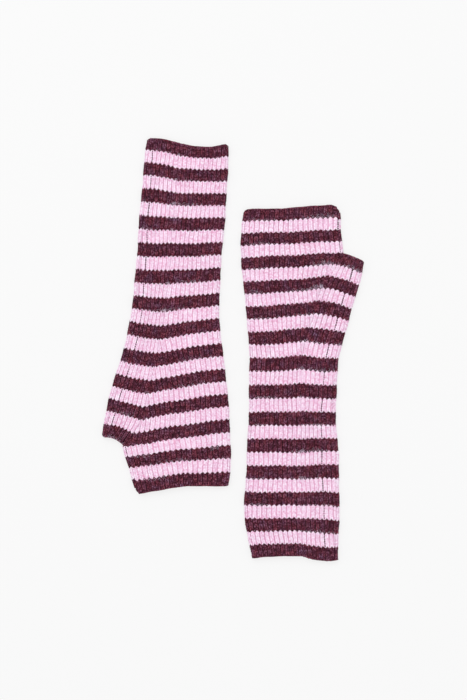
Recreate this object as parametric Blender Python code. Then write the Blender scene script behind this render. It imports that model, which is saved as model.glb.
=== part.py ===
"""A pair of long fingerless wrist warmers in 1x1 rib knit, lying flat side by side.

Each warmer is one knitted tube pressed flat: an upper layer and an under layer joined along two
folds, open at the arm, the fingers and the thumb. It is worked in stripes, numbered along the tube
from 0 at the finger edge to STRIPES at the arm edge. From WIDEN_FROM down to THUMB_EDGE a new rib
starts at every stripe along the gusset crease, and at THUMB_EDGE the tube splits into the hand part
and the thumb opening.

+X is right, +Y is up the pair as it is seen from above, +Z is away from the table. The origin is on
the table under the middle of the pair. The left warmer lies fingers down, the right one fingers up.
"""

import math
from collections import namedtuple

import bmesh
import bpy
from mathutils import Vector

MM = 0.001

# Knitting: ribs across one layer, and stripes along the tube
HAND_RIBS = 11      # between the far fold and the gusset crease, all the way
WIDENED_RIBS = 8    # started one by one along the crease
THUMB_RIBS = 7      # between the crease and the thumb fold
STRIPES = 27
WIDEN_FROM = 12
THUMB_EDGE = 4
STRIPE_LENGTH = 11.4 * MM

# Cloth, in layers from the table up
UNDER_WALL = 2.2 * MM
HOLLOW = 0.6 * MM
UPPER_WALL = 2.2 * MM       # measured in the grooves between ribs
RIB_RISE = 0.9 * MM
FOLD_REACH = 2.7 * MM       # how far a fold's round edge stands out past the flat layers
HOLLOW_REACH = 0.4 * MM     # the same for the hollow inside the fold
WEB_DEPTH = 1.0 * MM        # how far the crotch between hand and thumb is scooped out
CORNER_EASE = 2.2           # a round corner is felt this many times its length along the fold
FLAT_EDGE = 4.0 * MM        # how far in the ribs flatten toward a bound-off edge
EDGE_RIB_SHARE = 0.35       # what is left of a rib's rise on that edge

# A rib's round top between two grooves: shares of its width, and of its rise there
RIB_PROFILE = ((0.2, 0.75), (0.5, 1.0), (0.8, 0.75))

# Stripe numbers of the sections that make the tube: past THUMB_EDGE one for each widened rib
HAND_SECTIONS = (0, 0.1, 0.35, 1, 2, 3, THUMB_EDGE)
WIDENING_SECTIONS = tuple(range(THUMB_EDGE, WIDEN_FROM + 1))
ARM_SECTIONS = (13.5, 15, 16.5, 18, 19.5, 21, 22.5, 24, 25.5, 26.65, 26.9, STRIPES)

# How each warmer lies, in mm: far is the outer edge of the fold away from the thumb, crease the
# gusset line (on the hand part, where the flat layers end), thumb the outer edge of the thumb fold.
# A bow is how far up the middle of that stretch of knitting lies from a straight line.
Section = namedtuple(
    "Section", "stripe far_x far_y hand_bow crease_x crease_y thumb_bow thumb_x thumb_y")

LEFT_SECTIONS = (
    Section(0, -3.8, -120.8, 3.1, -84.2, -128.1, None, None, None),
    Section(2, -2.0, -96.0, 1.5, -90.2, -104.5, None, None, None),
    Section(4, -2.5, -73.0, 1.0, -95.7, -86.0, 2.5, -116.5, -76.3),
    Section(6, -4.0, -50.0, 1.0, -82.0, -62.0, 0.5, -113.0, -54.0),
    Section(9, -6.9, -16.5, 1.0, -73.0, -27.5, -0.5, -104.0, -21.0),
    Section(12, -11.5, 17.5, 0.0, -65.0, 9.5, -1.0, -94.0, 13.5),
    Section(16, -11.5, 61.5, 0.0, -57.5, 58.0, 0.0, -87.5, 59.5),
    Section(20, -7.9, 106.0, -0.5, -54.0, 106.0, -1.0, -84.0, 107.5),
    Section(24, -5.0, 149.5, -1.0, -50.0, 150.0, 1.0, -80.0, 154.5),
    Section(27, -4.0, 182.0, -2.5, -47.5, 182.5, 1.5, -76.5, 188.0),
)

RIGHT_SECTIONS = (
    Section(0, 9.3, 124.1, -1.0, 91.9, 129.3, None, None, None),
    Section(2, 6.5, 103.0, -0.5, 93.0, 106.5, None, None, None),
    Section(4, 7.0, 81.5, 0.0, 95.5, 86.0, 1.0, 116.5, 78.0),
    Section(6, 8.5, 60.5, -1.0, 82.0, 65.0, 1.5, 111.5, 57.5),
    Section(9, 12.0, 27.0, -1.0, 71.0, 32.0, 1.0, 102.5, 25.5),
    Section(12, 14.0, -7.5, -0.5, 61.5, -5.0, -0.5, 94.0, -7.5),
    Section(16, 13.5, -55.5, 0.0, 60.0, -54.5, -0.5, 91.2, -55.0),
    Section(20, 11.5, -102.0, -0.5, 60.5, -102.5, 0.5, 93.8, -102.0),
    Section(24, 10.0, -149.5, 0.5, 60.5, -149.5, 1.0, 94.0, -151.5),
    Section(27, 16.7, -184.9, 1.5, 61.5, -183.3, -1.8, 93.0, -186.4),
)

# The round corners of the openings: the fold and the stripe where one is, and how far it is
# rounded across the opening and along the fold, in mm
Corner = namedtuple("Corner", "fold stripe across along")

LEFT_CORNERS = (
    Corner("far", 0, 1.8, 2.0),
    Corner("crease", 0, 5.0, 10.0),
    Corner("thumb", THUMB_EDGE, 2.5, 2.5),
    Corner("far", STRIPES, 2.5, 4.0),
    Corner("thumb", STRIPES, 3.5, 4.0),
)

RIGHT_CORNERS = (
    Corner("far", 0, 3.5, 4.0),
    Corner("crease", 0, 10.0, 11.0),
    Corner("thumb", THUMB_EDGE, 2.5, 2.5),
    Corner("far", STRIPES, 1.2, 1.2),
    Corner("thumb", STRIPES, 1.2, 1.2),
)

Warmer = namedtuple("Warmer", "name sections corners")

WARMERS = (
    Warmer("wrist_warmer_left", LEFT_SECTIONS, LEFT_CORNERS),
    Warmer("wrist_warmer_right", RIGHT_SECTIONS, RIGHT_CORNERS),
)

WOOL_COLOUR = (0.34, 0.15, 0.21, 1.0)
WOOL_ROUGHNESS = 0.95


def remove_scene_objects():
    for obj in list(bpy.data.objects):
        bpy.data.objects.remove(obj, do_unlink=True)


def wool_material(name):
    material = bpy.data.materials.new(name)
    material.use_nodes = True
    shader = material.node_tree.nodes["Principled BSDF"]
    shader.inputs["Base Color"].default_value = WOOL_COLOUR
    shader.inputs["Roughness"].default_value = WOOL_ROUGHNESS
    shader.inputs["Metallic"].default_value = 0.0
    return material


def along(table, column, stripe, corner_at=None):
    """A column's value at a stripe, on a smooth curve through the rows that state it.

    The curve may turn a sharp corner at one row's stripe.
    """
    knots = [(row.stripe, getattr(row, column)) for row in table if getattr(row, column) is not None]
    last = len(knots) - 1
    i = max(k for k in range(last) if knots[k][0] <= stripe or k == 0)

    def slope(k, toward):
        low = max(k - 1, 0)
        high = min(k + 1, last)
        if knots[k][0] == corner_at:
            low, high = sorted((k, min(max(k + toward, 0), last)))
        return (knots[high][1] - knots[low][1]) / (knots[high][0] - knots[low][0])

    (start, start_value), (end, end_value) = knots[i], knots[i + 1]
    span = end - start
    t = (stripe - start) / span
    return (start_value * (1 + 2 * t) * (1 - t) ** 2 + slope(i, 1) * span * t * (1 - t) ** 2
            + end_value * t * t * (3 - 2 * t) + slope(i + 1, -1) * span * t * t * (t - 1))


def place(table, name, stripe, corner_at=None):
    """The point on the table named far, crease or thumb, in metres."""
    x = along(table, name + "_x", stripe, corner_at)
    y = along(table, name + "_y", stripe, corner_at)
    return Vector((x * MM, y * MM, 0.0))


class CornerPull:
    """What the round corners do to one section near the fold named far, crease or thumb."""

    def __init__(self, warmer, fold, stripe):
        self.pulls = []
        for corner in warmer.corners:
            from_edge = abs(stripe - corner.stripe) * STRIPE_LENGTH
            share = 1 - from_edge / (corner.along * MM * CORNER_EASE)
            if corner.fold != fold or share <= 0:
                continue
            step = -0.5 if corner.stripe == STRIPES else 0.5
            edge = place(warmer.sections, fold, corner.stripe)
            inward = (place(warmer.sections, fold, corner.stripe + step) - edge).normalized()
            self.pulls.append((corner.across * MM, inward * corner.along * MM * share * share))

    def shift(self, from_fold):
        """How far the cloth moves at a distance from the fold's outer edge."""
        moved = Vector()
        for across, pull in self.pulls:
            left = max(0.0, 1 - from_fold / across)
            moved += pull * (1 - math.sqrt(1 - left * left))
        return moved


def rib_rise(stripe, edges):
    """The height of a rib, less near the bound-off edges."""
    from_edge = min(abs(stripe - edge) for edge in edges) * STRIPE_LENGTH
    share = min(1.0, from_edge / FLAT_EDGE)
    return RIB_RISE * (EDGE_RIB_SHARE + (1 - EDGE_RIB_SHARE) * share)


def hand_rib_edges(stripe):
    """Where the hand side's ribs meet, from 0 at the far fold to 1 at the crease.

    A widened rib that has not started yet has no width.
    """
    widths = [1.0] * HAND_RIBS
    widths += [min(1.0, max(0.0, WIDEN_FROM - k - stripe)) for k in range(WIDENED_RIBS)]
    edges = [0.0]
    for width in widths:
        edges.append(edges[-1] + width / sum(widths))
    return edges


def thumb_rib_edges():
    return [k / THUMB_RIBS for k in range(THUMB_RIBS + 1)]


class Stretch:
    """The flat layers of one section between two places, with their ribs.

    start_pull and end_pull are what the corners do to the folds at its two ends.
    """

    def __init__(self, start, end, bow, edges, rise, start_pull, end_pull):
        self.start = start
        self.end = end
        self.bow = bow * MM
        self.edges = edges
        self.rise = rise
        self.start_pull = start_pull
        self.end_pull = end_pull

    def at(self, share, height):
        point = self.start.lerp(self.end, share)
        point.y += self.bow * 4 * share * (1 - share)
        length = (self.end - self.start).length
        point += self.start_pull.shift(FOLD_REACH + share * length)
        point += self.end_pull.shift(FOLD_REACH + (1 - share) * length)
        point.z = height
        return point

    def upper_stations(self):
        """One station for each rib: its outer points, and the inner point under its groove."""
        groove = UNDER_WALL + HOLLOW + UPPER_WALL
        stations = []
        for low, high in zip(self.edges, self.edges[1:]):
            rise = self.rise if high > low else 0.0
            outer = [self.at(low, groove)]
            outer += [self.at(low + (high - low) * across, groove + rise * up)
                      for across, up in RIB_PROFILE]
            stations.append((outer, self.at(low, UNDER_WALL + HOLLOW)))
        return stations

    def under_stations(self):
        """The way back along the table, plain and flat."""
        return [([self.at(edge, 0.0)], self.at(edge, UNDER_WALL)) for edge in self.edges[:0:-1]]


def fold_stations(flat_end, outward, pull, upward=False, scoop=Vector()):
    """The round edge where the upper layer turns into the under layer, or the way back up.

    scoop moves the middle of the fold along the tube.
    """
    half = (UNDER_WALL + HOLLOW + UPPER_WALL) / 2
    round_points = []
    for step in range(5):
        turn = math.pi * step / 4
        point = flat_end + (outward * FOLD_REACH + scoop) * math.sin(turn)
        point += pull.shift(FOLD_REACH * (1 - math.sin(turn)))
        point.z = half * (1 + math.cos(turn))
        round_points.append(point)
    inner_end = flat_end + pull.shift(FOLD_REACH)
    inner_end.z = UNDER_WALL if upward else UNDER_WALL + HOLLOW
    inner_middle = flat_end + outward * HOLLOW_REACH + scoop
    inner_middle += pull.shift(FOLD_REACH - HOLLOW_REACH)
    inner_middle.z = UNDER_WALL + HOLLOW / 2
    if upward:
        round_points.reverse()
    return [(round_points[0:2], inner_end), (round_points[2:4], inner_middle)]


def section_parts(warmer, stripe):
    """The folds and the flat stretches of the section at a stripe."""
    table = warmer.sections
    far_edge = place(table, "far", stripe)
    crease = place(table, "crease", stripe, corner_at=THUMB_EDGE)
    across = (crease - far_edge).normalized()
    far_flat = far_edge + across * FOLD_REACH
    far_pull = CornerPull(warmer, "far", stripe)
    crease_pull = CornerPull(warmer, "crease", stripe)
    parts = {
        "far_fold": fold_stations(far_flat, -across, far_pull, upward=True),
        "hand": Stretch(far_flat, crease, along(table, "hand_bow", stripe), hand_rib_edges(stripe),
                        rib_rise(stripe, (0, STRIPES)), far_pull, crease_pull),
    }
    if stripe <= THUMB_EDGE:
        scoop = Vector()
        if stripe == THUMB_EDGE:
            to_fingers = place(table, "crease", 2) - place(table, "crease", THUMB_EDGE)
            scoop = to_fingers.normalized() * WEB_DEPTH
        parts["crotch_fold"] = fold_stations(crease, across, crease_pull, scoop=scoop)
        parts["crotch_fold_up"] = fold_stations(crease, across, crease_pull, True, scoop)
    if stripe >= THUMB_EDGE:
        thumb_edge = place(table, "thumb", stripe)
        outward = (thumb_edge - crease).normalized()
        thumb_flat = thumb_edge - outward * FOLD_REACH
        thumb_pull = CornerPull(warmer, "thumb", stripe)
        parts["thumb"] = Stretch(crease, thumb_flat, along(table, "thumb_bow", stripe),
                                 thumb_rib_edges(), rib_rise(stripe, (THUMB_EDGE, STRIPES)),
                                 crease_pull, thumb_pull)
        parts["thumb_fold"] = fold_stations(thumb_flat, outward, thumb_pull)
    return parts


def hand_ring(warmer, stripe):
    """The stations once round the hand part, from the far fold over the top and back."""
    parts = section_parts(warmer, stripe)
    return (parts["far_fold"] + parts["hand"].upper_stations() + parts["crotch_fold"]
            + parts["hand"].under_stations())


def arm_ring(warmer, stripe):
    """The stations once round the arm part, where the thumb side belongs to the tube."""
    parts = section_parts(warmer, stripe)
    return (parts["far_fold"] + parts["hand"].upper_stations() + parts["thumb"].upper_stations()
            + parts["thumb_fold"] + parts["thumb"].under_stations() + parts["hand"].under_stations())


def thumb_ring(warmer):
    """The stations round the thumb opening, closed by the web at the crotch."""
    parts = section_parts(warmer, THUMB_EDGE)
    return (parts["thumb"].upper_stations() + parts["thumb_fold"]
            + parts["thumb"].under_stations() + parts["crotch_fold_up"])


def add_band(mesh, ring, next_ring):
    """Quads between two loops of as many points."""
    verts = [mesh.verts.new(point) for point in ring]
    next_verts = [mesh.verts.new(point) for point in next_ring]
    for k in range(len(verts)):
        after = (k + 1) % len(verts)
        mesh.faces.new((verts[k], verts[after], next_verts[after], next_verts[k]))


def outer_loop(ring):
    return [point for outer, inner in ring for point in outer]


def inner_loop(ring):
    return [inner for outer, inner in ring]


def add_tube(mesh, rings):
    """The outer and inner surfaces through a row of rings."""
    for ring, next_ring in zip(rings, rings[1:]):
        add_band(mesh, outer_loop(ring), outer_loop(next_ring))
        add_band(mesh, inner_loop(ring), inner_loop(next_ring))


def add_rim(mesh, ring):
    """The cut face of the wall at an opening, one face for each station."""
    for k, (outer, inner) in enumerate(ring):
        next_outer, next_inner = ring[(k + 1) % len(ring)]
        points = outer + [next_outer[0], next_inner, inner]
        mesh.faces.new([mesh.verts.new(point) for point in points])


def knitted_tube(warmer):
    """One warmer as a closed wall of cloth."""
    mesh = bmesh.new()
    hand_rings = [hand_ring(warmer, stripe) for stripe in HAND_SECTIONS]
    arm_rings = [arm_ring(warmer, stripe) for stripe in WIDENING_SECTIONS + ARM_SECTIONS]
    add_tube(mesh, hand_rings)
    add_tube(mesh, arm_rings)
    add_rim(mesh, hand_rings[0])
    add_rim(mesh, thumb_ring(warmer))
    add_rim(mesh, arm_rings[-1])
    bmesh.ops.remove_doubles(mesh, verts=mesh.verts, dist=0.001 * MM)
    bmesh.ops.recalc_face_normals(mesh, faces=mesh.faces)
    data = bpy.data.meshes.new(warmer.name)
    mesh.to_mesh(data)
    mesh.free()
    tube = bpy.data.objects.new(warmer.name, data)
    bpy.context.scene.collection.objects.link(tube)
    data.materials.append(wool_material(warmer.name + "_wool"))
    return tube


def centre_pair(tubes):
    """Moves the pair so that the middle of its outline is at the origin."""
    points = [vertex.co for tube in tubes for vertex in tube.data.vertices]
    for axis in (0, 1):
        values = [point[axis] for point in points]
        middle = (min(values) + max(values)) / 2
        for point in points:
            point[axis] -= middle


def main():
    remove_scene_objects()
    centre_pair([knitted_tube(warmer) for warmer in WARMERS])


main()
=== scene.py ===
"""Looks of a pair of long fingerless wrist warmers in 1x1 rib knit, lying flat side by side.

Each warmer is one closed shell of cloth on the form of its solid. Outside it is covered with knitted
stitches, one V for each rib and row. A linked seam runs beside the thumb edge, and the finger, thumb
and arm edges are bound off.

Places along a tube are stripe numbers, from 0 at the finger edge to STRIPES at the arm edge.
+X is right, +Y is up the pair as it is seen from above, +Z is away from the table.
"""

import math
import random
from collections import namedtuple

import bmesh
import bpy
from mathutils import Matrix, Vector

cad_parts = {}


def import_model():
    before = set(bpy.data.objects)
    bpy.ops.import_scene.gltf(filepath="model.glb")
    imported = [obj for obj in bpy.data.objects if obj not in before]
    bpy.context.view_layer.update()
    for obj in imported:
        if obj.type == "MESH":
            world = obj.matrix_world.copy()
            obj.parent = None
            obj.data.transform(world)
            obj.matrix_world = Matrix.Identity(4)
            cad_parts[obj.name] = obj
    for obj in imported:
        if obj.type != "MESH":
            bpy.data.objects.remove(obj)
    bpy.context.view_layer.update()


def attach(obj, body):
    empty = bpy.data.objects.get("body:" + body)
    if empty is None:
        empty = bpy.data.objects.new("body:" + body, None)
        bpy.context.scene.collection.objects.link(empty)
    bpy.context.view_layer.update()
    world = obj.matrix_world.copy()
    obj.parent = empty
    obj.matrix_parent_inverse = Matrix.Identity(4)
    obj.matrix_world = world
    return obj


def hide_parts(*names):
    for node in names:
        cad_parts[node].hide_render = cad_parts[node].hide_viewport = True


MM = 0.001
UP = Vector((0.0, 0.0, 1.0))

# Knitting: ribs across one layer, stripes along the tube, and rows of stitches in a stripe
HAND_RIBS = 11
WIDENED_RIBS = 8
STRIPES = 27
WIDEN_FROM = 12
THUMB_EDGE = 4
ROWS = 6
STRIPE_LENGTH = 11.4 * MM
RIB_WIDTH = 4.1 * MM
SMALLEST_RIB = 1.3 * MM      # a rib narrower than this has no stitches
FULL_RIB = 2.5 * MM          # a rib narrower than this rises less
TOOTH = 0.07                 # how far a colour reaches past its stripe at ribs and grooves, in stripes

# Cloth, in heights above the table
UNDER_FACE = 0.5 * MM
UNDER_INSIDE = 2.2 * MM
UPPER_INSIDE = 2.8 * MM
GROOVE = 4.45 * MM
RIB_BASE = 5.15 * MM
UPPER_STITCH = 5.2 * MM
UNDER_STITCH = 0.47 * MM

# Round edges, measured past the flat layers
FOLD_REACH = 2.7 * MM
FOLD_GROOVE = 1.6 * MM
FOLD_RIB = 1.95 * MM
FOLD_STITCH = 2.15 * MM
FOLD_STITCH_TOP = 2.6 * MM               # the fold's stitches above its middle, and under it
FOLD_STITCH_BOTTOM = 1.6 * MM
FOLD_STITCH_ROUND = 2.3 * MM             # half the height of the round that they face out from
FOLD_UPPER_TURN = math.radians(45)       # where the fold's two ribs lie, from the top
FOLD_UNDER_TURN = math.radians(126)
FOLD_RIB_WIDTH = 0.92 * RIB_WIDTH
SHELL_INSET = FOLD_REACH - FOLD_RIB      # from the fold's outer edge in to the shell's
HIDDEN_SEAM_TURN = math.radians(100)     # where a hidden seam lies on a fold, from the top
HOLLOW_REACH = 0.4 * MM
WEB_DEPTH = 1.0 * MM
CORNER_EASE = 2.2            # a round corner is felt this many times its length along the fold
FLAT_EDGE = 4.0 * MM         # how far in the ribs flatten toward a bound-off edge
FLATTEST = 0.35              # the share of a rib's rise, and of a groove's shade, left at that edge
LINK_INSET = 0.5 * MM        # how far the bound-off links lie inside the shell's end

# A rib's round top: shares of its width, and of its rise there
RIB_PROFILE = ((0.0, 0.0), (0.2, 0.75), (0.5, 1.0), (0.8, 0.75))

# How each warmer lies, in mm: far is the outer edge of the fold away from the thumb, crease the
# gusset line (on the hand part, where the flat layers end), thumb the outer edge of the thumb fold.
# A bow is how far up the middle of that stretch of knitting lies from a straight line.
Section = namedtuple(
    "Section", "stripe far_x far_y hand_bow crease_x crease_y thumb_bow thumb_x thumb_y")

LEFT_SECTIONS = (
    Section(0, -3.8, -120.8, 3.1, -84.2, -128.1, None, None, None),
    Section(2, -2.0, -96.0, 1.5, -90.2, -104.5, None, None, None),
    Section(4, -2.5, -73.0, 1.0, -95.7, -86.0, 2.5, -116.5, -76.3),
    Section(6, -4.0, -50.0, 1.0, -82.0, -62.0, 0.5, -113.0, -54.0),
    Section(9, -6.9, -16.5, 1.0, -73.0, -27.5, -0.5, -104.0, -21.0),
    Section(12, -11.5, 17.5, 0.0, -65.0, 9.5, -1.0, -94.0, 13.5),
    Section(16, -11.5, 61.5, 0.0, -57.5, 58.0, 0.0, -87.5, 59.5),
    Section(20, -7.9, 106.0, -0.5, -54.0, 106.0, -1.0, -84.0, 107.5),
    Section(24, -5.0, 149.5, -1.0, -50.0, 150.0, 1.0, -80.0, 154.5),
    Section(27, -4.0, 182.0, -2.5, -47.5, 182.5, 1.5, -76.5, 188.0),
)

RIGHT_SECTIONS = (
    Section(0, 9.3, 124.1, -1.0, 91.9, 129.3, None, None, None),
    Section(2, 6.5, 103.0, -0.5, 93.0, 106.5, None, None, None),
    Section(4, 7.0, 81.5, 0.0, 95.5, 86.0, 1.0, 116.5, 78.0),
    Section(6, 8.5, 60.5, -1.0, 82.0, 65.0, 1.5, 111.5, 57.5),
    Section(9, 12.0, 27.0, -1.0, 71.0, 32.0, 1.0, 102.5, 25.5),
    Section(12, 14.0, -7.5, -0.5, 61.5, -5.0, -0.5, 94.0, -7.5),
    Section(16, 13.5, -55.5, 0.0, 60.0, -54.5, -0.5, 91.2, -55.0),
    Section(20, 11.5, -102.0, -0.5, 60.5, -102.5, 0.5, 93.8, -102.0),
    Section(24, 10.0, -149.5, 0.5, 60.5, -149.5, 1.0, 94.0, -151.5),
    Section(27, 16.7, -184.9, 1.5, 61.5, -183.3, -1.8, 93.0, -186.4),
)

# The round corners of the openings: the fold and the stripe where one is, and how far it is
# rounded across the opening and along the fold, in mm
Corner = namedtuple("Corner", "fold stripe across along")

LEFT_CORNERS = (
    Corner("far", 0, 1.8, 2.0),
    Corner("crease", 0, 5.0, 10.0),
    Corner("thumb", THUMB_EDGE, 2.5, 2.5),
    Corner("far", STRIPES, 2.5, 4.0),
    Corner("thumb", STRIPES, 3.5, 4.0),
)

RIGHT_CORNERS = (
    Corner("far", 0, 3.5, 4.0),
    Corner("crease", 0, 10.0, 11.0),
    Corner("thumb", THUMB_EDGE, 2.5, 2.5),
    Corner("far", STRIPES, 1.2, 1.2),
    Corner("thumb", STRIPES, 1.2, 1.2),
)

# Brings the middle of the pair's outline to the origin, as in the solids
PAIR_SHIFT = Vector((0.113 * MM, -0.371 * MM, 0.0))

# The seam lies in one groove of the thumb side, ribs_to_seam ribs from the crease. seam_line is its
# share of the way to the thumb fold, at stripe numbers. The last of the ribs past it goes round the
# fold. On the hand part the seam runs beside the fold, and seam_hidden stripes of it lie under the
# edge. cut is the flat panel: girth, length, area.
Warmer = namedtuple("Warmer", "side node sections corners ribs_to_seam ribs_past_seam seam_line "
                              "seam_hidden cut seed")

LEFT = Warmer(
    "left", "wrist_warmer_left", LEFT_SECTIONS, LEFT_CORNERS, 6, 2,
    ((4, 0.82), (6, 0.79), (9, 0.755), (12, 0.73), (16, 0.78), (20, 0.80), (24, 0.83), (27, 0.86)),
    2.6, (0.235, 0.315, 0.0545), 11)
RIGHT = Warmer(
    "right", "wrist_warmer_right", RIGHT_SECTIONS, RIGHT_CORNERS, 5, 3,
    ((4, 0.73), (6, 0.76), (9, 0.75), (12, 0.70), (16, 0.64), (20, 0.58), (24, 0.65), (27, 0.70)),
    0.0, (0.225, 0.314, 0.0545), 23)

# A point of the shell's outer face, where a rib crosses a row, and where a piece of yarn goes
Spot = namedtuple("Spot", "co valley")
Rib = namedtuple("Rib", "centre outward width")
Place = namedtuple("Place", "centre along outward size tint")


# The form of the tubes

def along(table, column, stripe, corner_at=None):
    """A column's value at a stripe, on a smooth curve through the rows that state it.

    The curve may turn a sharp corner at one row's stripe.
    """
    knots = [(row.stripe, getattr(row, column)) for row in table if getattr(row, column) is not None]
    last = len(knots) - 1
    i = max(k for k in range(last) if knots[k][0] <= stripe or k == 0)

    def slope(k, toward):
        low = max(k - 1, 0)
        high = min(k + 1, last)
        if knots[k][0] == corner_at:
            low, high = sorted((k, min(max(k + toward, 0), last)))
        return (knots[high][1] - knots[low][1]) / (knots[high][0] - knots[low][0])

    (start, start_value), (end, end_value) = knots[i], knots[i + 1]
    span = end - start
    t = (stripe - start) / span
    return (start_value * (1 + 2 * t) * (1 - t) ** 2 + slope(i, 1) * span * t * (1 - t) ** 2
            + end_value * t * t * (3 - 2 * t) + slope(i + 1, -1) * span * t * t * (t - 1))


def place(table, name, stripe, corner_at=None):
    """The point on the table named far, crease or thumb, in metres."""
    x = along(table, name + "_x", stripe, corner_at)
    y = along(table, name + "_y", stripe, corner_at)
    return Vector((x * MM, y * MM, 0.0)) + PAIR_SHIFT


class CornerPull:
    """What the round corners do to one row near the fold named far, crease or thumb."""

    def __init__(self, warmer, fold, stripe):
        self.pulls = []
        for corner in warmer.corners:
            from_edge = abs(stripe - corner.stripe) * STRIPE_LENGTH
            share = 1 - from_edge / (corner.along * MM * CORNER_EASE)
            if corner.fold != fold or share <= 0:
                continue
            step = -0.5 if corner.stripe == STRIPES else 0.5
            edge = place(warmer.sections, fold, corner.stripe)
            inward = (place(warmer.sections, fold, corner.stripe + step) - edge).normalized()
            self.pulls.append((corner.across * MM, inward * corner.along * MM * share * share))

    def shift(self, from_fold):
        """How far the cloth moves at a distance from the fold's outer edge."""
        moved = Vector()
        for across, pull in self.pulls:
            left = min(1.0, max(0.0, (across - from_fold) / (across - SHELL_INSET)))
            moved += pull * (1 - math.sqrt(1 - left * left))
        return moved


def fullness(stripe, edges):
    """1 on the open knitting, less where the stitches flatten toward a bound-off edge."""
    from_edge = min(abs(stripe - edge) for edge in edges) * STRIPE_LENGTH
    return FLATTEST + (1 - FLATTEST) * min(1.0, from_edge / FLAT_EDGE)


def groove_shade(stripe):
    """How dark the painted shade in the grooves is at a stripe: less on the smooth first and last
    stripes.
    """
    return FLATTEST + (1 - FLATTEST) * min(1.0, stripe, STRIPES - stripe)


def between(pairs, at):
    """The value at a number between two of the pairs, on a straight line."""
    for (low, low_value), (high, high_value) in zip(pairs, pairs[1:]):
        if at <= high:
            break
    return low_value + (high_value - low_value) * (at - low) / (high - low)


def hand_rib_edges(stripe):
    """Where the hand side's ribs meet, from 0 at the far fold to 1 at the crease.

    A widened rib that has not started yet has no width.
    """
    widths = [1.0] * HAND_RIBS
    widths += [min(1.0, max(0.0, WIDEN_FROM - k - stripe)) for k in range(WIDENED_RIBS)]
    edges = [0.0]
    for width in widths:
        edges.append(edges[-1] + width / sum(widths))
    return edges


def thumb_rib_edges(warmer, stripe, length):
    """The same for the thumb side, from the crease to the thumb fold, with the seam in a groove.

    Past the seam the ribs keep their width, as far as the fold leaves room.
    """
    seam = between(warmer.seam_line, stripe)
    edges = [seam * k / warmer.ribs_to_seam for k in range(warmer.ribs_to_seam + 1)]
    for k in range(1, warmer.ribs_past_seam):
        edges.append(min(1.0, seam + k * RIB_WIDTH / length))
    return edges + [1.0]


def settle(point):
    """The small unevenness of cloth laid down by hand: a slight wander and low swells."""
    x = point.x / MM
    y = point.y / MM
    wander_x = 0.28 * math.sin(0.118 * y + 0.05 * x + 1.3) + 0.16 * math.sin(0.33 * y - 0.12 * x)
    wander_y = 0.30 * math.sin(0.141 * x + 0.04 * y) + 0.14 * math.sin(0.37 * x + 0.09 * y + 2.0)
    swell = 0.28 * math.sin(0.083 * x + 0.047 * y) + 0.22 * math.sin(0.031 * x - 0.069 * y + 0.8)
    share = point.z / RIB_BASE
    return point + Vector((wander_x, wander_y, (0.35 + swell) * share * share)) * MM


class Stretch:
    """The flat layers of one row between two places, with their ribs.

    start_pull and end_pull are what the corners do to the folds at its two ends.
    """

    def __init__(self, start, end, bow, edges, full, start_pull, end_pull):
        self.start = start
        self.end = end
        self.bow = bow * MM
        self.edges = edges
        self.full = full
        self.start_pull = start_pull
        self.end_pull = end_pull

    def at(self, share, height):
        point = self.start.lerp(self.end, share)
        point.y += self.bow * 4 * share * (1 - share)
        length = (self.end - self.start).length
        point += self.start_pull.shift(FOLD_REACH + share * length)
        point += self.end_pull.shift(FOLD_REACH + (1 - share) * length)
        point.z = height
        return point

    def upper_stations(self):
        """One station for each rib: its outer spots, and the inner point under its groove."""
        stations = []
        for low, high in zip(self.edges, self.edges[1:]):
            width = (high - low) * (self.end - self.start).length
            rise = (RIB_BASE - GROOVE) * self.full * min(1.0, width / FULL_RIB)
            outer = [Spot(self.at(low + (high - low) * across, GROOVE + rise * up), 1 - up)
                     for across, up in RIB_PROFILE]
            stations.append((outer, self.at(low, UPPER_INSIDE)))
        return stations

    def under_stations(self):
        """The way back along the table."""
        stations = []
        for low, high in reversed(list(zip(self.edges, self.edges[1:]))):
            outer = [Spot(self.at(high, UNDER_FACE), 1.0),
                     Spot(self.at((low + high) / 2, UNDER_FACE), 0.0)]
            stations.append((outer, self.at(high, UNDER_INSIDE)))
        return stations

    def ribs(self, name):
        """The middle of each rib that is wide enough to be knitted, on both layers."""
        found = {}
        length = (self.end - self.start).length
        for k, (low, high) in enumerate(zip(self.edges, self.edges[1:])):
            width = (high - low) * length
            if width < SMALLEST_RIB:
                continue
            upper_height = GROOVE + (UPPER_STITCH - GROOVE) * self.full
            found[name, k] = Rib(self.at((low + high) / 2, upper_height), UP, width)
            found[name + " under", k] = Rib(self.at((low + high) / 2, UNDER_STITCH), -UP, width)
        return found


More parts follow.
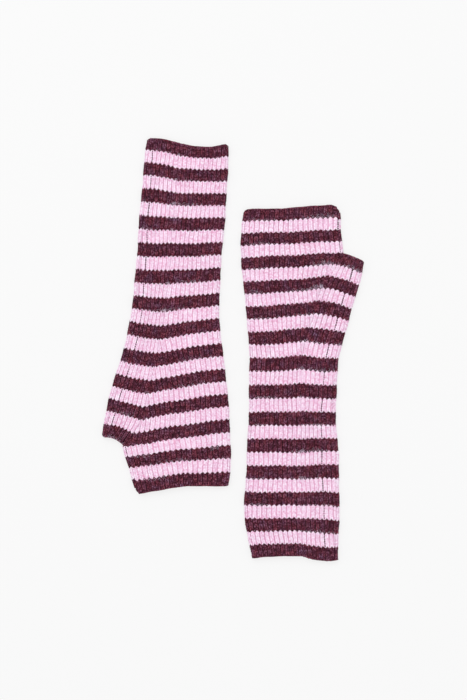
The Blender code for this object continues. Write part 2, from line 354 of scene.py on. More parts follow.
class Fold:
    """The round edge where the upper layer turns into the under layer, with two ribs on it."""

    def __init__(self, flat_end, outward, pull, scoop=Vector()):
        self.flat_end = flat_end
        self.outward = outward
        self.pull = pull
        self.scoop = scoop

    def at(self, turn, reach, top, bottom):
        """The point a turn away from the top, in radians."""
        middle = (GROOVE + UNDER_FACE) / 2
        rise = (top if turn < math.pi / 2 else bottom) * math.cos(turn)
        past_flat = reach * math.sin(turn)
        point = self.flat_end + self.outward * past_flat + self.scoop * math.sin(turn)
        point += self.pull.shift(FOLD_REACH - past_flat)
        point.z = middle + rise
        return point

    def stations(self, upward=False):
        half = (GROOVE - UNDER_FACE) / 2
        spots = []
        for step in range(9):
            turn = math.pi * step / 8
            up = math.sin(2 * turn) ** 2
            reach = FOLD_GROOVE + (FOLD_RIB - FOLD_GROOVE) * up
            spots.append(Spot(self.at(turn, reach, half, half), 1 - up))
        inner_end = self.flat_end + self.pull.shift(FOLD_REACH)
        inner_end.z = UNDER_INSIDE if upward else UPPER_INSIDE
        inner_middle = self.flat_end + self.outward * HOLLOW_REACH + self.scoop
        inner_middle += self.pull.shift(FOLD_REACH - HOLLOW_REACH)
        inner_middle.z = (UNDER_INSIDE + UPPER_INSIDE) / 2
        if upward:
            spots.reverse()
        return [(spots[0:4], inner_end), (spots[4:8], inner_middle)]

    def ribs(self, name):
        found = {}
        for layer, turn in (("", FOLD_UPPER_TURN), (" under", FOLD_UNDER_TURN)):
            centre = self.at(turn, FOLD_STITCH, FOLD_STITCH_TOP, FOLD_STITCH_BOTTOM)
            outward = (self.outward * math.sin(turn) / FOLD_STITCH
                       + UP * math.cos(turn) / FOLD_STITCH_ROUND).normalized()
            found[name + layer, 0] = Rib(centre, outward, FOLD_RIB_WIDTH)
        return found


def row_parts(warmer, stripe):
    """The folds and the flat stretches of the row at a stripe number."""
    table = warmer.sections
    far_edge = place(table, "far", stripe)
    crease = place(table, "crease", stripe, corner_at=THUMB_EDGE)
    across = (crease - far_edge).normalized()
    far_flat = far_edge + across * FOLD_REACH
    far_pull = CornerPull(warmer, "far", stripe)
    crease_pull = CornerPull(warmer, "crease", stripe)
    parts = {
        "far_fold": Fold(far_flat, -across, far_pull),
        "hand": Stretch(far_flat, crease, along(table, "hand_bow", stripe),
                        hand_rib_edges(stripe), fullness(stripe, (0, STRIPES)),
                        far_pull, crease_pull),
    }
    if stripe <= THUMB_EDGE:
        scoop = Vector()
        if stripe == THUMB_EDGE:
            to_fingers = place(table, "crease", 2) - place(table, "crease", THUMB_EDGE)
            scoop = to_fingers.normalized() * WEB_DEPTH
        parts["crotch_fold"] = Fold(crease, across, crease_pull, scoop)
    if stripe >= THUMB_EDGE:
        thumb_edge = place(table, "thumb", stripe)
        outward = (thumb_edge - crease).normalized()
        thumb_flat = thumb_edge - outward * FOLD_REACH
        thumb_pull = CornerPull(warmer, "thumb", stripe)
        parts["thumb"] = Stretch(crease, thumb_flat, along(table, "thumb_bow", stripe),
                                 thumb_rib_edges(warmer, stripe, (thumb_flat - crease).length),
                                 fullness(stripe, (THUMB_EDGE, STRIPES)), crease_pull, thumb_pull)
        parts["thumb_fold"] = Fold(thumb_flat, outward, thumb_pull)
    return parts


def hand_ring(warmer, stripe):
    """The stations once round the hand part, from the far fold over the top and back."""
    parts = row_parts(warmer, stripe)
    return (parts["far_fold"].stations(upward=True) + parts["hand"].upper_stations()
            + parts["crotch_fold"].stations() + parts["hand"].under_stations())


def arm_ring(warmer, stripe):
    """The stations once round the arm part, where the thumb side belongs to the tube."""
    parts = row_parts(warmer, stripe)
    return (parts["far_fold"].stations(upward=True) + parts["hand"].upper_stations()
            + parts["thumb"].upper_stations() + parts["thumb_fold"].stations()
            + parts["thumb"].under_stations() + parts["hand"].under_stations())


def thumb_ring(warmer):
    """The stations round the thumb opening, closed by the web at the crotch."""
    parts = row_parts(warmer, THUMB_EDGE)
    return (parts["thumb"].upper_stations() + parts["thumb_fold"].stations()
            + parts["thumb"].under_stations() + parts["crotch_fold"].stations(upward=True))


# Shells of cloth

class ShellMesh:
    """Gathers the faces of a shell, with the stripe and the painted groove shade at every corner."""

    def __init__(self):
        self.mesh = bmesh.new()
        self.stripe = self.mesh.verts.layers.float.new("stripe")
        self.valley = self.mesh.verts.layers.float.new("valley")

    def vert(self, spot, stripe):
        vert = self.mesh.verts.new(settle(spot.co))
        tooth = TOOTH * (1 - 2 * spot.valley)
        vert[self.stripe] = min(STRIPES - 0.01, max(0.01, stripe + tooth))
        # The valley attribute is painted shade: it darkens the shell's colour in the grooves, on the
        # inside and at the rims' inner edges
        vert[self.valley] = spot.valley * groove_shade(stripe)
        return vert

    def add_band(self, ring, next_ring, stripe, next_stripe):
        verts = [self.vert(spot, stripe) for spot in ring]
        next_verts = [self.vert(spot, next_stripe) for spot in next_ring]
        for k in range(len(verts)):
            after = (k + 1) % len(verts)
            self.mesh.faces.new((verts[k], verts[after], next_verts[after], next_verts[k]))

    def add_rim(self, ring, stripe):
        """The end of the wall at an opening, one face for each station."""
        for k, (outer, inner) in enumerate(ring):
            next_outer, next_inner = ring[(k + 1) % len(ring)]
            spots = outer + [next_outer[0], Spot(next_inner, 1.0), Spot(inner, 1.0)]
            self.mesh.faces.new([self.vert(spot, stripe) for spot in spots])

    def finish(self, name):
        bmesh.ops.remove_doubles(self.mesh, verts=self.mesh.verts, dist=0.002 * MM)
        bmesh.ops.recalc_face_normals(self.mesh, faces=self.mesh.faces)
        for face in self.mesh.faces:
            face.smooth = True
        data = bpy.data.meshes.new(name)
        self.mesh.to_mesh(data)
        self.mesh.free()
        return data


def outer_loop(ring):
    return [spot for outer, inner in ring for spot in outer]


def inner_loop(ring):
    return [Spot(inner, 1.0) for outer, inner in ring]


def knitted_shell(warmer):
    """One warmer's wall of cloth, outside with every row, inside stripe by stripe."""
    shell = ShellMesh()
    for make_ring, start, end in ((hand_ring, 0, THUMB_EDGE), (arm_ring, THUMB_EDGE, STRIPES)):
        rows = [start + k / ROWS for k in range((end - start) * ROWS + 1)]
        rings = [make_ring(warmer, row) for row in rows]
        for k in range(len(rows) - 1):
            shell.add_band(outer_loop(rings[k]), outer_loop(rings[k + 1]), rows[k], rows[k + 1])
        for k in range(0, len(rows) - 1, ROWS):
            shell.add_band(inner_loop(rings[k]), inner_loop(rings[k + ROWS]), rows[k], rows[k + ROWS])
    shell.add_rim(hand_ring(warmer, 0), 0)
    shell.add_rim(thumb_ring(warmer), THUMB_EDGE)
    shell.add_rim(arm_ring(warmer, STRIPES), STRIPES)
    return shell.finish(warmer.side + "_knitted_tube")


# Where the yarn goes

# How unevenly the stitches lie: lean and size as shares, nudge and lift in mm
STITCH_LEAN = 0.05
STITCH_SPREAD = 0.03
STITCH_NUDGE = 0.05
STITCH_LIFT = 0.04
STITCH_REACH = 0.4           # how far a stitch reaches to each side of its row's middle, in rows
EDGE_STITCH = 0.62           # the length of a stitch beside a bound-off edge
EDGE_FULLNESS = 0.6          # the knitting there is less full than this

# The seam's thread above its groove: where it lies deepest, how far it comes up, and how much higher
# it is on the hand part
SEAM_HEIGHT = 0.2 * MM
SEAM_RISE = 0.35 * MM
HAND_SEAM_RISE = 0.2 * MM

# The pale loops' height, how many wisps lie at a groove where the fuzz is 1, and how far above the
# loops, in mm
LOOP_HEIGHT = GROOVE + 0.55 * MM
WISPS = 8
WISP_HEIGHT = 1.1


def ribs_at(warmer, stripe):
    """Every rib that crosses a row, on both layers and round the folds."""
    found = {}
    for name, part in row_parts(warmer, stripe).items():
        found.update(part.ribs(name))
    return found


def stitch_places(warmer, chance):
    """The place of each V, sorted by layer and colour. A V points to the fingers."""
    places = {(layer, colour): [] for layer in ("upper", "under") for colour in ("burgundy", "pink")}
    reach = STITCH_REACH / ROWS
    for row in range(STRIPES * ROWS):
        stripe = (row + 0.5) / ROWS
        colour = "pink" if int(stripe) % 2 else "burgundy"
        ribs = ribs_at(warmer, stripe)
        before = ribs_at(warmer, stripe - reach)
        after = ribs_at(warmer, stripe + reach)
        for key, rib in ribs.items():
            if key not in before or key not in after:
                continue
            layer = "under" if key[0].endswith("under") else "upper"
            step = settle(after[key].centre) - settle(before[key].centre)
            length = step.length / (2 * reach * ROWS)
            lean = rib.outward.cross(step) * chance.gauss(0, STITCH_LEAN)
            edges = (0, THUMB_EDGE, STRIPES) if key[0].startswith("thumb") else (0, STRIPES)
            full = fullness(stripe, edges)
            size = Vector((rib.width / RIB_WIDTH, length / (STRIPE_LENGTH / ROWS),
                           0.6 + 0.4 * full))
            if full < EDGE_FULLNESS:
                size.y *= EDGE_STITCH
            size *= 1 + chance.gauss(0, STITCH_SPREAD)
            nudge = Vector((chance.gauss(0, STITCH_NUDGE), chance.gauss(0, STITCH_NUDGE), 0.0)) * MM
            if layer == "upper":
                nudge.z = chance.gauss(0, STITCH_LIFT) * MM
            places[layer, colour].append(Place(
                settle(rib.centre) + nudge, (step + lean).normalized(), rib.outward, size,
                chance.gauss(0, 1)))
    return places


def seam_places(warmer, chance):
    """The linking thread's stitches down the seam's groove, one for each row of knitting.

    They lie deep in the groove in places, and nearly level with the ribs in others.
    """
    places = []

    def groove_at(stripe, shown):
        parts = row_parts(warmer, stripe)
        height = GROOVE + SEAM_HEIGHT + SEAM_RISE * shown
        if "thumb" in parts:
            return parts["thumb"].at(parts["thumb"].edges[warmer.ribs_to_seam], height)
        if stripe < warmer.seam_hidden:
            return parts["crotch_fold"].at(HIDDEN_SEAM_TURN, FOLD_RIB, FOLD_STITCH_TOP,
                                           FOLD_STITCH_BOTTOM)
        return parts["hand"].at(1.0, height + HAND_SEAM_RISE)

    for row in range(STRIPES * ROWS):
        stripe = (row + 0.5) / ROWS
        shown = 0.5 + 0.5 * math.sin(1.9 * stripe + warmer.seed)
        start = settle(groove_at(stripe - STITCH_REACH / ROWS, shown))
        end = settle(groove_at(stripe + STITCH_REACH / ROWS, shown))
        size = Vector((1, 1, 1)) * (0.85 + 0.25 * shown + chance.gauss(0, 0.1))
        places.append(Place((start + end) / 2, (end - start).normalized(), UP, size,
                            chance.gauss(0, 1)))
    return places


# Where the pale fuzz is thickest, how far it reaches from there in mm, and how thick it is
SPOT_FUZZ = 1.5
FuzzySpot = namedtuple("FuzzySpot", "x y reach")
FUZZY_SPOTS = (
    FuzzySpot(82.0, 117.0, 17.0), FuzzySpot(82.0, 74.5, 7.0), FuzzySpot(108.5, 72.5, 12.0),
    FuzzySpot(20.1, 52.9, 9.0), FuzzySpot(75.0, 53.0, 8.0), FuzzySpot(-107.3, 11.3, 8.0),
    FuzzySpot(-79.9, 129.9, 6.0), FuzzySpot(-68.4, -110.8, 16.0), FuzzySpot(-16.4, -85.8, 13.0),
    FuzzySpot(-79.9, -93.1, 11.0))


def fuzziness(point, usual):
    """How thick the pale fuzz is at a point: up to the usual share, and more at the fuzzy spots."""
    x = point.x / MM
    y = point.y / MM
    swing = math.sin(0.11 * x + 0.9 * math.sin(0.05 * y)) + math.sin(0.083 * y - 0.06 * x + 1.0)
    fuzzy = usual * min(1.0, max(0.0, 0.45 + 0.35 * swing))
    for spot in FUZZY_SPOTS:
        fuzzy += SPOT_FUZZ * max(0.0, 1 - math.hypot(x - spot.x, y - spot.y) / spot.reach)
    return fuzzy


def pale_loop_places(warmer, chance):
    """The loops in the grooves where burgundy meets pink, and wisps of wool beside them.

    They show where the burgundy lies above the pink, and at the fuzzy spots below it too.
    """
    loops = []
    wisps = []
    arm_way = 1 if along(warmer.sections, "far_y", STRIPES) > 0 else -1
    for change in range(1, STRIPES):
        to_burgundy = -1 if change % 2 else 1
        upward = to_burgundy * arm_way
        parts = row_parts(warmer, change + 0.05 * to_burgundy)
        for name in ("hand", "thumb"):
            if name not in parts:
                continue
            stretch = parts[name]
            across = (stretch.end - stretch.start).normalized()
            for share in stretch.edges[1:-1]:
                point = settle(stretch.at(share, LOOP_HEIGHT))
                fuzzy = fuzziness(point, max(0, upward))
                if chance.random() > fuzzy:
                    continue
                arch = Vector((chance.gauss(0, 0.3), upward, 0.7)).normalized()
                size = Vector((1, 1, 1)) * (1 + chance.gauss(0, 0.15))
                loops.append(Place(point, across, arch, size, chance.gauss(0, 1)))
                wisps += wisp_places(point, upward, fuzzy, chance)
    return loops, wisps


def wisp_places(point, upward, fuzzy, chance):
    """A few curved fibres lying loosely over a loop and over the burgundy beside it."""
    places = []
    spread = 0.3 + 0.75 * fuzzy
    for k in range(round(WISPS * fuzzy * fuzzy)):
        turn = chance.uniform(0, 2 * math.pi)
        rise = chance.uniform(-0.1, 0.2)
        along_fibre = Vector((math.cos(turn), math.sin(turn), rise)).normalized()
        into_burgundy = upward * abs(chance.gauss(0, spread))
        centre = point + Vector((chance.gauss(0, 1.0), into_burgundy, WISP_HEIGHT)) * MM
        arch = (UP.cross(along_fibre) * chance.choice((-1, 1)) + UP * 0.4).normalized()
        size = Vector((1, 1, 1)) * chance.uniform(0.6, 1.3)
        places.append(Place(centre, along_fibre, arch, size, chance.gauss(0, 1)))
    return places


def even_steps(points, step):
    """Points at even steps round a closed line."""
    lengths = [(points[(k + 1) % len(points)] - point).length for k, point in enumerate(points)]
    count = round(sum(lengths) / step)
    even = []
    k = 0
    passed = 0.0
    for n in range(count):
        target = sum(lengths) * n / count
        while passed + lengths[k] < target:
            passed += lengths[k]
            k += 1
        share = (target - passed) / lengths[k] if lengths[k] else 0.0
        even.append(points[k].lerp(points[(k + 1) % len(points)], share))
    return even


def edge_places(ring, outward, chance):
    """The bound-off links round an opening, along the middle of the wall's end."""
    middle = []
    for outer, inner in ring:
        spot = outer[len(outer) // 2].co if len(outer) > 2 else outer[0].co
        middle.append(settle((spot + inner) / 2 - outward * LINK_INSET))
    line = even_steps(middle, RIB_WIDTH / 3)
    places = []
    for k, point in enumerate(line):
        tangent = (line[(k + 1) % len(line)] - line[k - 1]).normalized()
        size = Vector((1, 1, 1)) * (1 + chance.gauss(0, 0.04))
        places.append(Place(point, tangent, outward, size, chance.gauss(0, 1)))
    return places


def fluff_places(stitches, count, chance):
    """Loose fibres, each standing a little off a stitch in any direction."""
    places = []
    for stitch in chance.sample(stitches, count):
        turn = chance.uniform(0, 2 * math.pi)
        side = stitch.outward.cross(stitch.along).normalized()
        flat = stitch.along * math.cos(turn) + side * math.sin(turn)
        lift = chance.uniform(0.05, 0.5)
        along_fibre = (flat + stitch.outward * lift).normalized()
        across = flat.cross(stitch.outward)
        centre = (stitch.centre + stitch.outward * chance.uniform(0.45, 0.7) * MM
                  + side * chance.uniform(-1.5, 1.5) * MM)
        size = Vector((1, chance.uniform(0.6, 1.5), chance.uniform(0.6, 1.6)))
        places.append(Place(centre, along_fibre, along_fibre.cross(across), size,
                            chance.gauss(0, 1)))
    return places


# Node trees

class Value:
    """A number's socket, used in Python arithmetic."""

    def __init__(self, tree, socket):
        self.tree = tree
        self.socket = socket

    def math(self, operation, *inputs, clamp=False):
        settings = {"operation": operation, "use_clamp": clamp}
        return self.tree.add("ShaderNodeMath", settings, dict(enumerate(inputs))).value()

    def __add__(self, other):
        return self.math("ADD", self, other)

    def __sub__(self, other):
        return self.math("SUBTRACT", self, other)

    def __mul__(self, other):
        return self.math("MULTIPLY", self, other)

    def __gt__(self, other):
        return self.math("GREATER_THAN", self, other)

    def __mod__(self, other):
        return self.math("FLOORED_MODULO", self, other)

    def floor(self):
        return self.math("FLOOR", self)

    def limited(self):
        """The value, kept between 0 and 1."""
        return self.math("ADD", self, 0.0, clamp=True)


class Node:
    """A node of a tree, whose outputs are asked for by name or number."""

    def __init__(self, tree, node):
        self.tree = tree
        self.node = node

    def out(self, name=0):
        return self.node.outputs[name]

    def value(self, name=0):
        return Value(self.tree, self.out(name))


class Tree:
    """Adds nodes to a node tree: the type, then its settings, then its sockets."""

    def __init__(self, nodes):
        self.nodes = nodes

    def add(self, kind, settings=None, inputs=None):
        node = self.nodes.nodes.new(kind)
        for name, setting in (settings or {}).items():
            if name == "stops":
                set_stops(node.color_ramp, setting)
            else:
                setattr(node, name, setting)
        for name, given in (inputs or {}).items():
            socket = node.inputs[name]
            for one in given if isinstance(given, list) else [given]:
                source = one.socket if isinstance(one, Value) else one
                source = source.out() if isinstance(source, Node) else source
                if isinstance(source, bpy.types.NodeSocket):
                    self.nodes.links.new(source, socket)
                else:
                    socket.default_value = source
        return Node(self, node)


def set_stops(ramp, stops):
    while len(ramp.elements) < len(stops):
        ramp.elements.new(1.0)
    for element, (position, colour) in zip(ramp.elements, stops):
        element.position = position
        element.color = colour


class YarnTree(Tree):
    """A geometry tree that puts one shape of yarn at each point of a mesh of places."""

    def __init__(self, name, inputs):
        super().__init__(bpy.data.node_groups.new(name, "GeometryNodeTree"))
        interface = self.nodes.interface
        interface.new_socket("Places", in_out="INPUT", socket_type="NodeSocketGeometry")
        for label, kind in inputs.items():
            interface.new_socket(label, in_out="INPUT", socket_type="NodeSocket" + kind)
        interface.new_socket("Wool", in_out="INPUT", socket_type="NodeSocketMaterial")
        interface.new_socket("Knitting", in_out="OUTPUT", socket_type="NodeSocketGeometry")
        self.group = self.add("NodeGroupInput")

    def named(self, name, kind="FLOAT_VECTOR"):
        return self.add("GeometryNodeInputNamedAttribute", {"data_type": kind}, {"Name": name})

    def grain(self, width, length, height):
        """A grain of yarn that lies along Y: rounded, and thinner to both ends."""
        ball = self.add("GeometryNodeMeshUVSphere", {}, {
            "Segments": self.group.out("Sides"), "Rings": self.group.out("Rings"), "Radius": 1.0})
        size = self.add("ShaderNodeCombineXYZ", {}, {"X": width, "Y": height, "Z": length})
        return self.add("GeometryNodeTransform", {}, {
            "Geometry": ball.out("Mesh"), "Rotation": (math.pi / 2, 0.0, 0.0), "Scale": size})

    def finish(self, shape):
        turn = self.add("FunctionNodeAxesToRotation", {"primary_axis": "Z", "secondary_axis": "Y"}, {
            "Primary Axis": self.named("outward"), "Secondary Axis": self.named("along")})
        smooth = self.add("GeometryNodeSetShadeSmooth", {}, {"Geometry": shape})
        copies = self.add("GeometryNodeInstanceOnPoints", {}, {
            "Points": self.group.out("Places"), "Instance": smooth, "Rotation": turn,
            "Scale": self.named("size")})
        plain = self.add("GeometryNodeRealizeInstances", {}, {"Geometry": copies})
        wool = self.add("GeometryNodeSetMaterial", {}, {
            "Geometry": plain, "Material": self.group.out("Wool")})
        self.add("NodeGroupOutput", {}, {0: wool})
        return self.nodes


def knitted_v_tree():
    """A V of two leaning legs that meet toward the fingers and fall away to the rib's flanks."""
    tree = YarnTree("knitted_v", {
        "Leg width": "Float", "Leg length": "Float", "Leg height": "Float", "Leg lean": "Float",
        "Leg apart": "Float", "Crown": "Float", "Sides": "Int", "Rings": "Int"})
    group = tree.group
    grain = tree.grain(group.out("Leg width"), group.out("Leg length"), group.out("Leg height"))
    legs = []
    for side in (-1.0, 1.0):
        lean = group.value("Leg lean") * -side
        apart = group.value("Leg apart") * side
        legs.append(tree.add("GeometryNodeTransform", {}, {
            "Geometry": grain, "Rotation": tree.add("ShaderNodeCombineXYZ", {}, {"Z": lean}),
            "Translation": tree.add("ShaderNodeCombineXYZ", {}, {"X": apart})}))
    both = tree.add("GeometryNodeJoinGeometry", {}, {"Geometry": legs})
    position = tree.add("GeometryNodeInputPosition")
    x = tree.add("ShaderNodeSeparateXYZ", {}, {"Vector": position}).value("X")
    fall = x * x * group.value("Crown") * -1.0
    bent = tree.add("GeometryNodeSetPosition", {}, {
        "Geometry": both, "Offset": tree.add("ShaderNodeCombineXYZ", {}, {"Z": fall})})
    return tree.finish(bent)


def yarn_grain_tree():
    """One grain of yarn, for the seam's thread and the bound-off links."""
    tree = YarnTree("yarn_grain", {
        "Width": "Float", "Length": "Float", "Height": "Float", "Sides": "Int", "Rings": "Int"})
    group = tree.group
    return tree.finish(tree.grain(group.out("Width"), group.out("Length"), group.out("Height")))


def loose_fibre_tree():
    """A thin fibre, bent like an arch along its length."""
    tree = YarnTree("loose_fibre", {
        "Thickness": "Float", "Length": "Float", "Bend": "Float", "Sides": "Int", "Rings": "Int"})
    group = tree.group
    grain = tree.grain(group.out("Thickness"), group.out("Length"), group.out("Thickness"))
    position = tree.add("GeometryNodeInputPosition")
    y = tree.add("ShaderNodeSeparateXYZ", {}, {"Vector": position}).value("Y")
    bent = tree.add("GeometryNodeSetPosition", {}, {
        "Geometry": grain,
        "Offset": tree.add("ShaderNodeCombineXYZ", {}, {"Z": y * y * group.value("Bend") * -1.0})})
    return tree.finish(bent)


def mesh_of_places(name, places):
    data = bpy.data.meshes.new(name)
    data.from_pydata([place.centre for place in places], [], [])
    for field in ("along", "outward", "size"):
        attribute = data.attributes.new(field, "FLOAT_VECTOR", "POINT")
        attribute.data.foreach_set("vector", [n for p in places for n in getattr(p, field)])
    tints = data.attributes.new("tint", "FLOAT", "POINT")
    tints.data.foreach_set("value", [place.tint for place in places])
    return data


def yarn_piece(name, places, tree, sizes, wool):
    """Puts the tree's shape at every place and keeps the result as a plain mesh."""
    holder = bpy.data.objects.new(name + "_places", mesh_of_places(name, places))
    bpy.context.scene.collection.objects.link(holder)
    modifier = holder.modifiers.new("yarn", "NODES")
    modifier.node_group = tree
    given = dict(sizes, Wool=wool)
    for socket in tree.interface.items_tree:
        if socket.in_out == "INPUT" and socket.name in given:
            modifier[socket.identifier] = given[socket.name]
    depsgraph = bpy.context.evaluated_depsgraph_get()
    data = bpy.data.meshes.new_from_object(
        holder.evaluated_get(depsgraph), preserve_all_data_layers=True, depsgraph=depsgraph)
    holder.modifiers.clear()
    bpy.data.objects.remove(holder, do_unlink=True)
    for field in ("along", "outward", "size"):
        if field in data.attributes:
            data.attributes.remove(data.attributes[field])
    return show(name, data)


def show(name, data):
    data.name = name
    piece = bpy.data.objects.new(name, data)
    bpy.context.scene.collection.objects.link(piece)
    return piece


# Wool

BURGUNDY_DEEP = (0.012, 0.001, 0.006, 1.0)
BURGUNDY = (0.082, 0.016, 0.038, 1.0)
BURGUNDY_DUSTY = (0.235, 0.095, 0.155, 1.0)
BURGUNDY_RED = (0.160, 0.032, 0.052, 1.0)
PINK_DEEP = (0.770, 0.410, 0.610, 1.0)
PINK = (0.890, 0.710, 0.855, 1.0)
PINK_LIGHT = (0.965, 0.870, 0.960, 1.0)
# The painted shade in the pink shell's grooves; BURGUNDY_DEEP serves as the painted groove shade on
# the burgundy shell
PINK_GROOVE_SHADE = (0.770, 0.375, 0.550, 1.0)
WHITE = (1.0, 1.0, 1.0, 1.0)
RED_GLINT = (1.0, 0.30, 0.34, 1.0)
REDDER = (1.22, 0.76, 0.70, 1.0)
ROSIER = (1.0, 0.93, 0.965, 1.0)
GREYER = (0.90, 1.22, 1.34, 1.0)
THREAD_COLOUR = (0.075, 0.014, 0.035, 1.0)
EDGE_COLOUR = (0.175, 0.026, 0.040, 1.0)
PALE_SHADED = (0.24, 0.14, 0.21, 1.0)
PALE = (0.50, 0.37, 0.48, 1.0)
PALE_LIGHT = (0.78, 0.66, 0.78, 1.0)
FLUFF = (0.22, 0.10, 0.13, 1.0)
FLUFF_LIGHT = (0.35, 0.20, 0.25, 1.0)

# Sizes of the wool's patterns, as noise scales
MOTTLE_SCALE = 700.0
FIBRE_SCALE = 2600.0
SHELL_FIBRE_SCALE = 2200.0
LEAN_SCALE = 170.0
FLECK_SCALE = 120.0


class WoolTree(Tree):
    """A material's nodes, with what all the knitting's wools share."""

    def __init__(self, name, sheen, glint=WHITE):
        self.material = bpy.data.materials.new(name)
        self.material.use_nodes = True
        super().__init__(self.material.node_tree)
        self.shader = self.nodes.nodes["Principled BSDF"]
        self.shader.inputs["Roughness"].default_value = 0.92
        self.shader.inputs["Specular IOR Level"].default_value = 0.15
        self.shader.inputs["Sheen Weight"].default_value = sheen
        self.shader.inputs["Sheen Roughness"].default_value = 0.5
        self.shader.inputs["Sheen Tint"].default_value = glint
        self.here = self.add("ShaderNodeTexCoord").out("Object")

    def noise(self, scale, detail=3.0):
        return self.add("ShaderNodeTexNoise", {}, {
            "Vector": self.here, "Scale": scale, "Detail": detail}).value("Fac")

    def blend(self, share, one, other):
        """A colour between two, by a share that is a value."""
        settings = {"data_type": "RGBA"}
        sockets = {"Factor": share, "A": one, "B": other}
        return self.add("ShaderNodeMix", settings, sockets).out("Result")

    def tinted(self, share, colour, tint):
        """A colour multiplied by a tint, as far as the share says."""
        settings = {"data_type": "RGBA", "blend_type": "MULTIPLY"}
        sockets = {"Factor": share, "A": colour, "B": tint}
        return self.add("ShaderNodeMix", settings, sockets).out("Result")

    def attribute(self, name):
        return self.add("ShaderNodeAttribute", {"attribute_name": name}).value("Fac")

    def finish(self, colour, bump_height, strength=0.6):
        self.nodes.links.new(colour, self.shader.inputs["Base Color"])
        bump = self.add("ShaderNodeBump", {}, {
            "Height": bump_height, "Strength": strength, "Distance": 0.25 * MM})
        self.nodes.links.new(bump.out("Normal"), self.shader.inputs["Normal"])
        return self.material


def yarn_wool(name, deep, middle, light, mottled=1.0, sheen=0.15, glint=WHITE, lean_to=ROSIER,
              fleck=WHITE):
    """Spun yarn in one colour: mottled, with fibres, and a shade of its own for each stitch.

    Here and there it leans to one tint, with flecks of another. glint is the colour of its sheen.
    """
    tree = WoolTree(name, sheen, glint)
    mottle = tree.noise(MOTTLE_SCALE, 2.0)
    fibres = tree.noise(FIBRE_SCALE, 4.0)
    shade = mottle * (2.4 * mottled) + fibres + tree.attribute("tint") * 0.10 - 1.2 * mottled
    ramp = tree.add("ShaderNodeValToRGB", {"stops": ((0.1, deep), (0.5, middle), (0.9, light))},
                    {"Fac": shade})
    lean = (tree.noise(LEAN_SCALE, 1.0) * 4.0 - 1.5).limited()
    flecked = (tree.noise(FLECK_SCALE, 3.0) * 4.0 - 1.9).limited()
    leaning = tree.tinted(lean, ramp.out("Color"), lean_to)
    return tree.finish(tree.tinted(flecked, leaning, fleck), fibres)


def striped_wool():
    """The shell between and under the stitches: the stripes' colours, deepened by painted shade in the
    grooves.
    """
    tree = WoolTree("striped_wool", 0.05)
    pink_here = (tree.attribute("stripe").floor() % 2.0) > 0.5
    valley = tree.attribute("valley")
    fibres = tree.noise(SHELL_FIBRE_SCALE, 4.0)
    # Painted shade: the valley darkens each stripe toward its groove shade colour, with fibres mixed
    # in
    pink = tree.blend((valley * 0.9 + fibres * 0.6 - 0.2).limited(), PINK, PINK_GROOVE_SHADE)
    burgundy = tree.blend((valley + fibres * 0.8 - 0.25).limited(), BURGUNDY, BURGUNDY_DEEP)
    return tree.finish(tree.blend(pink_here, burgundy, pink), fibres)


# The pieces of one warmer

UPPER_STITCHES = {
    "Leg width": 0.76 * MM, "Leg length": 1.72 * MM, "Leg height": 0.66 * MM, "Leg lean": 0.33,
    "Leg apart": 0.96 * MM, "Crown": 0.18 / MM, "Sides": 6, "Rings": 4}
UNDER_STITCHES = {
    "Leg width": 0.72 * MM, "Leg length": 1.72 * MM, "Leg height": 0.40 * MM, "Leg lean": 0.33,
    "Leg apart": 0.90 * MM, "Crown": 0.0, "Sides": 4, "Rings": 3}
SEAM_THREAD = {"Width": 0.56 * MM, "Length": 0.68 * MM, "Height": 0.36 * MM, "Sides": 6, "Rings": 4}
PALE_LOOPS = {
    "Thickness": 0.20 * MM, "Length": 0.95 * MM, "Bend": 0.75 / MM, "Sides": 5, "Rings": 6}
BOUND_OFF_LINKS = {
    "Width": 1.15 * MM, "Length": 1.25 * MM, "Height": 0.75 * MM, "Sides": 8, "Rings": 5}
LOOSE_FIBRES = {
    "Thickness": 0.03 * MM, "Length": 0.9 * MM, "Bend": 0.35 / MM, "Sides": 3, "Rings": 3}
PALE_WISPS = {
    "Thickness": 0.065 * MM, "Length": 1.05 * MM, "Bend": 0.7 / MM, "Sides": 3, "Rings": 5}
FLUFF_COUNTS = {"burgundy": 1250, "pink": 850}


def make_warmer(warmer, trees, wools):
    """The shell of one warmer, with all the yarn that rides on it."""
    chance = random.Random(warmer.seed)
    tube = show(warmer.side + "_knitted_tube", knitted_shell(warmer))
    tube.data.materials.append(wools["striped"])
    pieces = []
    places = stitch_places(warmer, chance)
    for (layer, colour), spots in places.items():
        sizes = UPPER_STITCHES if layer == "upper" else UNDER_STITCHES
        name = f"{warmer.side}_{layer}_{colour}_stitches"
        pieces.append(yarn_piece(name, spots, trees["v"], sizes, wools[colour]))
    pieces.append(yarn_piece(warmer.side + "_seam_thread", seam_places(warmer, chance),
                             trees["grain"], SEAM_THREAD, wools["thread"]))
    loops, wisps = pale_loop_places(warmer, chance)
    pieces.append(yarn_piece(warmer.side + "_pale_loops", loops, trees["fibre"], PALE_LOOPS,
                             wools["pale"]))
    pieces.append(yarn_piece(warmer.side + "_pale_wisps", wisps, trees["fibre"], PALE_WISPS,
                             wools["pale"]))
    to_fingers = (place(warmer.sections, "far", 0) - place(warmer.sections, "far", 1)).normalized()
    links = edge_places(hand_ring(warmer, 0), to_fingers, chance)
    links += edge_places(thumb_ring(warmer), to_fingers, chance)
    links += edge_places(arm_ring(warmer, STRIPES), -to_fingers, chance)
    pieces.append(yarn_piece(warmer.side + "_bound_off_edges", links, trees["grain"],
                             BOUND_OFF_LINKS, wools["edge"]))
    for colour, count in FLUFF_COUNTS.items():
        fluff = fluff_places(places["upper", colour], count, chance)
        pieces.append(yarn_piece(f"{warmer.side}_{colour}_fluff", fluff, trees["fibre"],
                                 LOOSE_FIBRES, wools[colour + " fluff"]))
    for piece in [tube] + pieces:
        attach(piece, "root")
    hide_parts(warmer.node)


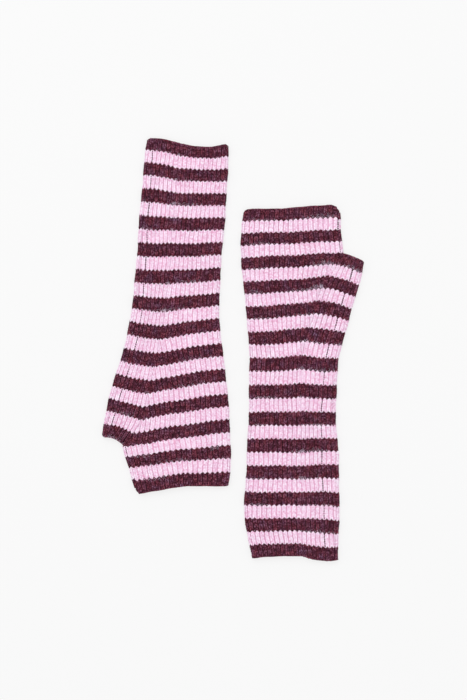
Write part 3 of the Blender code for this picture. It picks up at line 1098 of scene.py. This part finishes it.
# Floor, light and camera

FLOOR_COLOUR = (0.180, 0.180, 0.180, 1.0)
FLOOR_GLOW = 0.739           # the floor is a softly lit light table, so it shows little shadow
FLOOR_HALF = 6.0
FLOOR_TOP = -0.02 * MM

# How much comes from the room all round, and each lamp's name, place, size and power
ROOM_LIGHT = 0.75
LAMPS = (
    ("window_light", (-0.5, 0.9, 1.5), 1.4, 14.0),
    ("fill_light", (0.7, -0.5, 1.6), 1.6, 6.0),
)

# The view is 467 by 700 of the photo's pixels
PIXEL = 0.885 * MM
VIEW_HEIGHT = 700 * PIXEL
VIEW_MIDDLE = (0.33 * MM, -0.59 * MM)
VIEW_PLANE = 5.0 * MM        # the height at which the view measures that
LENS = 100.0
SENSOR_WIDTH = 36.0


def floor_paint():
    tree = WoolTree("pale_floor", 0.0)
    speckle = tree.noise(40.0, 2.0)
    other = tuple(n * 0.99 for n in FLOOR_COLOUR[:3]) + (1.0,)
    tree.shader.inputs["Emission Color"].default_value = WHITE
    tree.shader.inputs["Emission Strength"].default_value = FLOOR_GLOW
    return tree.finish(tree.blend(speckle, FLOOR_COLOUR, other), speckle, 0.0)


def add_floor():
    mesh = bmesh.new()
    bmesh.ops.create_grid(mesh, x_segments=4, y_segments=4, size=FLOOR_HALF)
    data = bpy.data.meshes.new("floor")
    mesh.to_mesh(data)
    mesh.free()
    data.transform(Matrix.Translation((0.0, 0.0, FLOOR_TOP)))
    data.materials.append(floor_paint())
    show("floor", data)


def add_soft_light(name, position, size, power):
    data = bpy.data.lights.new(name, "AREA")
    data.shape = "SQUARE"
    data.size = size
    data.energy = power
    lamp = bpy.data.objects.new(name, data)
    lamp.location = position
    lamp.rotation_euler = (-Vector(position)).to_track_quat("-Z", "Y").to_euler()
    bpy.context.scene.collection.objects.link(lamp)


def add_room_light(strength):
    world = bpy.data.worlds.new("soft_room")
    world.use_nodes = True
    background = world.node_tree.nodes["Background"]
    background.inputs["Color"].default_value = WHITE
    background.inputs["Strength"].default_value = strength
    bpy.context.scene.world = world


def add_camera():
    """Straight above the pair, as in the photo."""
    data = bpy.data.cameras.new("camera")
    data.lens = LENS
    data.sensor_width = SENSOR_WIDTH
    camera = bpy.data.objects.new("camera", data)
    camera.location = (*VIEW_MIDDLE, VIEW_HEIGHT * LENS / SENSOR_WIDTH + VIEW_PLANE)
    bpy.context.scene.collection.objects.link(camera)
    bpy.context.scene.camera = camera


def main():
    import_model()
    bpy.context.scene.view_settings.view_transform = "Standard"
    trees = {"v": knitted_v_tree(), "grain": yarn_grain_tree(), "fibre": loose_fibre_tree()}
    wools = {
        "striped": striped_wool(),
        "burgundy": yarn_wool("burgundy_wool", BURGUNDY_DEEP, BURGUNDY, BURGUNDY_DUSTY,
                              mottled=0.88, sheen=0.22, glint=RED_GLINT, lean_to=REDDER,
                              fleck=GREYER),
        "pink": yarn_wool("pink_wool", PINK_DEEP, PINK, PINK_LIGHT, mottled=0.8),
        "thread": yarn_wool("seam_thread_wool", BURGUNDY_DEEP, THREAD_COLOUR, BURGUNDY),
        "edge": yarn_wool("edge_wool", BURGUNDY, EDGE_COLOUR, BURGUNDY_RED, sheen=0.2,
                          glint=RED_GLINT),
        "burgundy fluff": yarn_wool("burgundy_fluff", BURGUNDY_RED, FLUFF, FLUFF_LIGHT, sheen=0.3),
        "pink fluff": yarn_wool("pink_fluff", PINK, PINK_LIGHT, PINK_LIGHT, sheen=0.3),
        "pale": yarn_wool("pale_wool", PALE_SHADED, PALE, PALE_LIGHT, lean_to=WHITE),
    }
    for warmer in (LEFT, RIGHT):
        make_warmer(warmer, trees, wools)
    add_floor()
    add_room_light(ROOM_LIGHT)
    for lamp in LAMPS:
        add_soft_light(*lamp)
    add_camera()


main()
